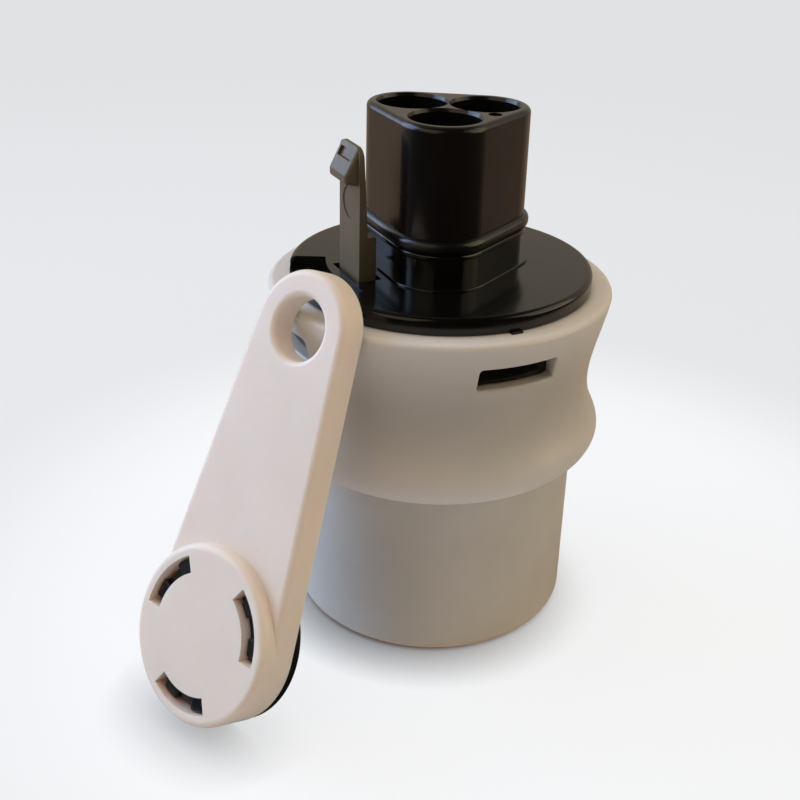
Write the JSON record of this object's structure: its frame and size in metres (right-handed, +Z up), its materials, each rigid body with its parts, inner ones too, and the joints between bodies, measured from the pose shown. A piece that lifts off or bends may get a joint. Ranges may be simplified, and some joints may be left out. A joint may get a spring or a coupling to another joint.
{
  "type": "grow light dimmer",
  "caption": "Plug-in light dimmer: white closed cup with a waisted collar, black flange, sealed three-pole plug with a side latch, and a loose teardrop magnet key leaning on its rim.",
  "frame": {"origin": "centre of the cup's flat closed end, on which the dimmer stands", "axes": "+Z up along the cup's axis to the plug's mouth; -X towards the latch; the key leans on the rim towards -X, -Y"},
  "size_m": [0.0773, 0.0563, 0.0792],
  "materials": {
    "cup_plastic": "finely textured moulded white",
    "collar_plastic": "smooth satin white",
    "flange_plastic": "glossy black",
    "shroud_plastic": "satin black",
    "seal_rubber": "moulded black rubber with a wet sheen",
    "contact_metal": "tin plated",
    "latch_plastic": "grey, matte",
    "key_plastic": "smooth satin white",
    "cap_plastic": "glossy black",
    "magnet_nickel": "nickel plated magnet",
    "screw_steel": "zinc plated",
    "board_laminate": "green glass laminate",
    "chip_resin": "moulded black resin",
    "capacitor_can": "drawn can",
    "ceramic_body": null
  },
  "bodies": {
    "dimmer": {"base_cup": "cup_plastic", "grip_collar": "collar_plastic", "connector_flange": "flange_plastic", "plug_shroud": "shroud_plastic", "plug_seal": "seal_rubber", "contact_pin_supply": "contact_metal", "contact_pin_return": "contact_metal", "contact_pin_dimming": "contact_metal", "pin_retainer": "shroud_plastic", "cup_seal": "seal_rubber", "circuit_board": "board_laminate", "board_screws": "screw_steel", "sensor_board": "board_laminate", "header_pins": "contact_metal", "magnet_sensor": "chip_resin", "microcontroller": "chip_resin", "voltage_regulator": "chip_resin", "smoothing_capacitor": "capacitor_can", "ceramic_capacitors": "ceramic_body", "chip_resistors": "chip_resin"},
    "latch": {"latch_lever": "latch_plastic"},
    "key": {"key_body": "key_plastic", "key_cap": "cap_plastic", "key_magnet": "magnet_nickel", "key_flux_plate": "screw_steel"}
  },
  "joints": [
    {"name": "latch_press", "type": "hinge", "parent": "dimmer", "child": "latch", "pos_m": [-0.01355, 0, 0.0544], "axis": [0, 1, 0], "range_deg": [0, 8], "stiffness_Nm_per_rad": 0.2, "springref_deg": -1.72},
    {"name": "key_lift", "type": "slide", "parent": "dimmer", "child": "key", "axis": [-0.8457, -0.3573, 0.3963], "range_m": [0, 0.06]}
  ]
}
